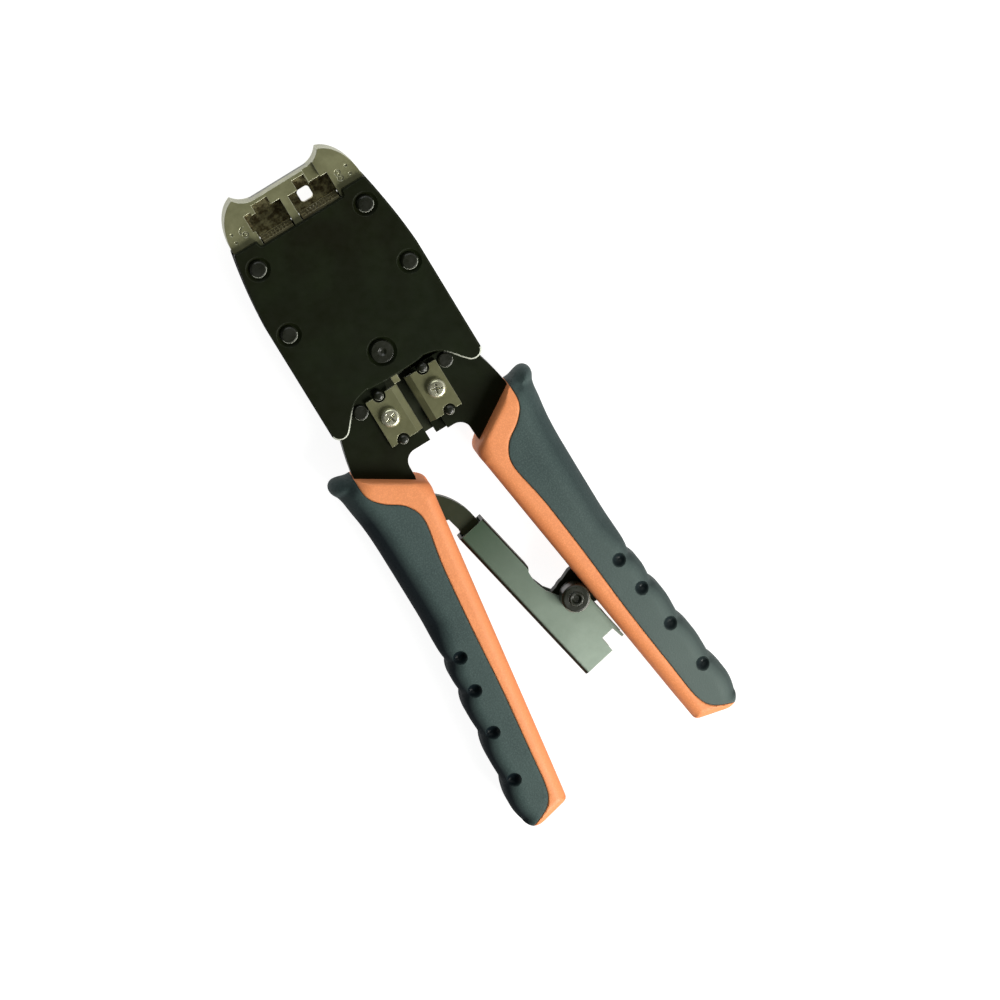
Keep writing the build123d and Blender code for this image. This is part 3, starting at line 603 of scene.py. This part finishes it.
class GripShape:
    """Height of one grip's front surface, from its outline, its seam and its finger pits."""

    def __init__(self, body, cover, side):
        self.mirror = np.array([side, 1.0])
        self.rim = []
        self.seam = []
        for loop, other in ((body, cover), (cover, body)):
            ends = np.roll(loop, -1, 0)
            middles = (loop + ends) / 2
            other_middles = (other + np.roll(other, -1, 0)) / 2
            shared = np.linalg.norm(middles[:, None] - other_middles[None], axis=2).min(1) < SEAM_MATCH
            self.rim.append((loop[~shared], ends[~shared]))
            self.seam.append((loop[shared], ends[shared]))
        self.rim_starts = np.concatenate([starts for starts, ends in self.rim])
        self.rim_ends = np.concatenate([ends for starts, ends in self.rim])
        self.rim_radius = self.edge_radius((self.rim_starts + self.rim_ends) / 2)

    def edge_radius(self, points):
        """The rounding of the rim at each point."""
        mirrored = points * self.mirror
        x, y = mirrored[:, 0], mirrored[:, 1]
        outer = x >= SIDE_LINE[0] - (y - SIDE_LINE[1]) * SIDE_LINE_SLOPE
        palm = np.clip((y - PALM_END_Y) / 8, 0, 1)
        outer_radius = EDGE_RADIUS_OUTER + (EDGE_RADIUS_PALM - EDGE_RADIUS_OUTER) * palm
        radius = np.where(outer, outer_radius, EDGE_RADIUS_INNER)
        radius = np.where(y < GRIP_END_Y, EDGE_RADIUS_END, radius)
        from_mouth = np.clip((line_distance(mirrored, MOUTH_LINE) - 0.5) / 4, 0, 1)
        radius = EDGE_RADIUS_MOUTH + (radius - EDGE_RADIUS_MOUTH) * from_mouth
        to_corner = np.linalg.norm(mirrored - np.array(MOUTH_CORNER), axis=1) / CORNER_REACH
        radius = np.maximum(radius, EDGE_RADIUS_CORNER * np.clip(1.2 - to_corner, 0, 1))
        to_horn = np.linalg.norm(mirrored - np.array(HORN_TIP), axis=1) / HORN_REACH
        return radius + (EDGE_RADIUS_HORN - radius) * np.clip(1.5 - to_horn, 0, 1)

    def height(self, points):
        """Half thickness of the grip at each point."""
        gap = segment_distance(points, self.rim_starts, self.rim_ends)
        height = GRIP_HALF - round_off(self.rim_radius[None], gap).max(1)
        height -= round_off(SEAM_RADIUS, segment_distance(points, *self.seam[0]).min(1))
        mirrored = points * self.mirror
        for pit, notch in zip(PITS, NOTCHES):
            away = np.linalg.norm(mirrored - np.array(pit), axis=1) / PIT_RADIUS
            height -= PIT_DEPTH * np.clip(1 - away ** 2, 0, 1) ** 0.75
            crease = line_distance(mirrored, (pit, notch)) / CREASE_WIDTH
            height -= CREASE_DEPTH * np.exp(-crease ** 2) * np.clip(away - 0.7, 0, 1)
        return height - HORN_CREASE_DEPTH * np.exp(-line_distance(mirrored, HORN_CREASE) ** 2)


def ring_points(segments, radius, rings):
    """Points beside a rim or seam, closer together where its rounded edge is steep."""
    starts, ends = segments
    middle = (starts + ends) / 2
    along = (ends - starts) / np.linalg.norm(ends - starts, axis=1)[:, None]
    inward = np.stack([-along[:, 1], along[:, 0]], 1)
    found = []
    for angle in np.linspace(0, math.pi / 2, rings)[1:]:
        depth = radius * (1 - math.cos(angle))
        ring = middle + inward * depth
        own_gap = segment_distance(ring, starts, ends).min(1)
        found.append(ring[own_gap > depth * 0.98])
    return np.concatenate(found)


def open_points(loop, shape, region):
    """An even field of points, clear of the rim and the seam."""
    low, high = loop.min(0), loop.max(0)
    rows = np.arange(low[1], high[1], FIELD_STEP * 0.866)
    field = np.array([(x + (i % 2) * FIELD_STEP / 2, y) for i, y in enumerate(rows)
                      for x in np.arange(low[0], high[0], FIELD_STEP)])
    to_rim = segment_distance(field, shape.rim_starts, shape.rim_ends).min(1)
    to_seam = segment_distance(field, *shape.seam[region]).min(1)
    return field[(to_rim > EDGE_RADIUS_OUTER + 0.3) & (to_seam > SEAM_RADIUS + 0.3)]


def pit_points(shape):
    """Rings of points in the finger pits."""
    return np.array([(shape.mirror[0] * x + r * math.cos(a), y + r * math.sin(a)) for x, y in PITS
                     for r in np.arange(PIT_STEP, PIT_RADIUS + 0.6, PIT_STEP)
                     for a in np.arange(0, 2 * math.pi, PIT_STEP / r)])


def field_points(loop, shape, region):
    """All the points inside one region, with none too close to another or to the outline."""
    points = np.concatenate([
        ring_points(shape.rim[region], EDGE_RADIUS_OUTER, RIM_RINGS),
        ring_points(shape.seam[region], SEAM_RADIUS, SEAM_RINGS),
        open_points(loop, shape, region),
        pit_points(shape)])
    points = points[inside(points, loop)]
    points = points[segment_distance(points, loop, np.roll(loop, -1, 0)).min(1) > OUTLINE_CLEAR]
    _, first = np.unique(np.round(points / CLOSEST), axis=0, return_index=True)
    return points[np.sort(first)]


def fill_outline(loop, shape, region):
    """(2-D points, triangles, the points along the outline) of one grip part."""
    points = np.concatenate([loop, field_points(loop, shape, region)])
    edges = [(i, (i + 1) % len(loop)) for i in range(len(loop))]
    filled = geometry.delaunay_2d_cdt([Vector(point) for point in points], edges, [], 1, 1e-5)
    verts, _, triangles, sources = filled[:4]
    rim_of = {source: i for i, found in enumerate(sources) for source in found if source < len(loop)}
    rim = [rim_of[source] for source in range(len(loop))]
    return np.array([tuple(vert) for vert in verts]), [tuple(face) for face in triangles], rim


def grip_part(name, loop, shape, region):
    """Closed shell of one grip part: domed front and back, joined by a wall along its outline."""
    flat, triangles, rim = fill_outline(loop, shape, region)
    height = shape.height(flat)
    count = len(flat)
    verts = [(x, y, h) for (x, y), h in zip(flat, height)]
    verts += [(x, y, -h) for (x, y), h in zip(flat, height)]
    faces = triangles + [tuple(i + count for i in reversed(face)) for face in triangles]
    columns = []
    for i in rim:
        column = [i]
        for row in range(1, WALL_ROWS):
            column.append(len(verts))
            verts.append((flat[i][0], flat[i][1], height[i] * (1 - 2 * row / WALL_ROWS)))
        columns.append(column + [i + count])
    for this, after in zip(columns, columns[1:] + columns[:1]):
        for row in range(WALL_ROWS):
            faces.append((this[row], this[row + 1], after[row + 1], after[row]))
    part = add_mesh(name, to_frame(verts), faces)
    part.data.validate()
    return part


def prism_cutter(name, outline, half):
    """Upright block over a 2-D outline, used to cut a slot and then removed."""
    count = len(outline)
    verts = to_frame((x, y, z) for z in (-half, half) for x, y in outline)
    faces = [tuple(reversed(range(count))), tuple(range(count, 2 * count))]
    faces += [(i, (i + 1) % count, (i + 1) % count + count, i + count) for i in range(count)]
    return add_mesh(name, verts, faces)


def cut(part, cutters):
    """Takes the cutters' shapes out of a part."""
    for cutter in cutters:
        change = part.modifiers.new("slot", "BOOLEAN")
        change.operation = "DIFFERENCE"
        change.solver = "EXACT"
        change.object = cutter
    graph = bpy.context.evaluated_depsgraph_get()
    done = bpy.data.meshes.new_from_object(part.evaluated_get(graph))
    part.modifiers.clear()
    part.data = done
    for cutter in cutters:
        bpy.data.objects.remove(cutter)


def left_slots():
    """Room for the ratchet bar and, when the handles are closed, for the channel."""
    bar_room = [(-20, -36.6), (-22, -57), (-4, -57), (-4, -36.6)]
    channel_room = [
        (-14.4, -47.5), (-15.6, -58.0), (-16.6, -62.0), (-23.0, -109.0), (-4, -109.0), (-4, -47.5)]
    return [
        prism_cutter("bar_room", bar_room, SLOT_HALF),
        prism_cutter("channel_room", channel_room, CHANNEL_SLOT_HALF)]


def right_slots():
    """Room for the right arm's lug under the knob."""
    low, high = (to_drawing(corner).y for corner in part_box("pivot_stud"))
    knob_y = (low + high) / 2
    lug_room = [(8, knob_y + 8), (8, knob_y - 7), (23, knob_y - 7), (22, knob_y + 8)]
    return [prism_cutter("lug_room", lug_room, SLOT_HALF)]


def make_grip(side_name, side, make_slots, finishes):
    """Both parts of one grip, on their handle, in place of the plain CAD solids."""
    kinds = ("body", "cover")
    loops = [even_loop(front_loop(f"{side_name}_grip_{kind}")) for kind in kinds]
    shape = GripShape(*loops, side)
    for region, (kind, loop, finish) in enumerate(zip(kinds, loops, ("orange_plastic", "dark_cover"))):
        part = grip_part(f"{side_name}_grip_{kind}_shell", loop, shape, region)
        cut(part, make_slots())
        part.data.shade_smooth()
        part.data.set_sharp_from_angle(angle=SHARP_ANGLE)
        part.data.materials.clear()
        part.data.materials.append(finishes[finish])
        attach(part, f"{side_name}_handle")
        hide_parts(f"{side_name}_grip_{kind}")


# ---- CAD nodes --------------------------------------------------------------------------

def finish_cad_nodes(finishes):
    for row in frame["record"]["subparts"]:
        node = frame["nodes"][row["node"]]
        node.data.materials.clear()
        node.data.materials.append(finishes[row["material_slot"]])


# ---- stage ------------------------------------------------------------------------------

def make_floor():
    """Large white sheet, mostly lit from within, so that shadows on it stay faint."""
    h = FLOOR_HALF
    floor = add_mesh("floor", [(-h, -h, 0), (h, -h, 0), (h, h, 0), (-h, h, 0)], [(0, 1, 2, 3)])
    s = Shader("floor_sheet")
    colour = s.mix(s.noise(9, 3), FLOOR_GREY, FLOOR_GREY_LOW)
    roughness = s.spread(s.noise(60), 0.3, 0.7, 0.85, 0.95)
    s.surface.inputs["Emission Color"].default_value = (1.0, 1.0, 1.0, 1.0)
    s.surface.inputs["Emission Strength"].default_value = FLOOR_GLOW
    texture = s.bump(s.noise(900), 0.02, 0.0001)
    floor.data.materials.append(s.finish(colour, roughness, texture, specular=0.2))


def add_light(name, place, size, power, colour):
    """Square light that looks at the frame's origin."""
    data = bpy.data.lights.new(name, "AREA")
    data.size = size
    data.energy = power
    data.color = colour
    light = bpy.data.objects.new(name, data)
    light.location = Vector(place)
    light.rotation_euler = (-light.location).to_track_quat("-Z", "Y").to_euler()
    bpy.context.scene.collection.objects.link(light)


def make_world():
    """Bright half way up on the lower right, dark overhead so that flat black metal stays dark."""
    world = bpy.data.worlds.new("studio")
    world.use_nodes = True
    s = Nodes(world.node_tree)
    direction = s.node("ShaderNodeTexCoord").outputs["Generated"]
    height = s.split(direction)["Z"]
    sideways = s.vectors("DOT_PRODUCT", direction, WORLD_BRIGHT_SIDE)
    ramps = ((height, WORLD_RISE), (height, WORLD_FADE), (sideways, WORLD_SIDE))
    strength = s.times(*(s.spread(value, *numbers, shape="SMOOTHSTEP") for value, numbers in ramps))
    background = world.node_tree.nodes["Background"]
    background.inputs["Color"].default_value = (1.0, 1.0, 1.0, 1.0)
    s.join(strength, background.inputs["Strength"])
    bpy.context.scene.world = world


def make_camera():
    """Looks down on the tool's front, tipped towards the nose and rolled."""
    towards = Vector((math.tan(CAMERA_TOWARDS_RIGHT), math.tan(CAMERA_TOWARDS_NOSE), 1.0)).normalized()
    across = Vector((0, 1, 0)).cross(towards).normalized()
    up = towards.cross(across)
    c, s = math.cos(CAMERA_ROLL), math.sin(CAMERA_ROLL)
    right = c * across + s * up
    up = c * up - s * across
    data = bpy.data.cameras.new("camera")
    data.sensor_width = 36.0
    data.lens = CAMERA_LENS_PER_METRE * CAMERA_DISTANCE
    data.clip_end = 20.0
    camera = bpy.data.objects.new("camera", data)
    turn = Matrix((right, up, towards)).transposed().to_4x4()
    camera.matrix_world = Matrix.Translation(CAMERA_TARGET + towards * CAMERA_DISTANCE) @ turn
    bpy.context.scene.collection.objects.link(camera)
    bpy.context.scene.camera = camera


# ---- scene ------------------------------------------------------------------------------

materials = make_materials()
finish_cad_nodes(materials)
make_grip("left", -1, left_slots, materials)
make_grip("right", 1, right_slots, materials)
make_floor()
make_world()
add_light("key", KEY_PLACE, KEY_SIZE, KEY_POWER, KEY_COLOUR)
add_light("fill", FILL_PLACE, FILL_SIZE, FILL_POWER, FILL_COLOUR)
make_camera()
bpy.context.scene.view_settings.view_transform = "Standard"
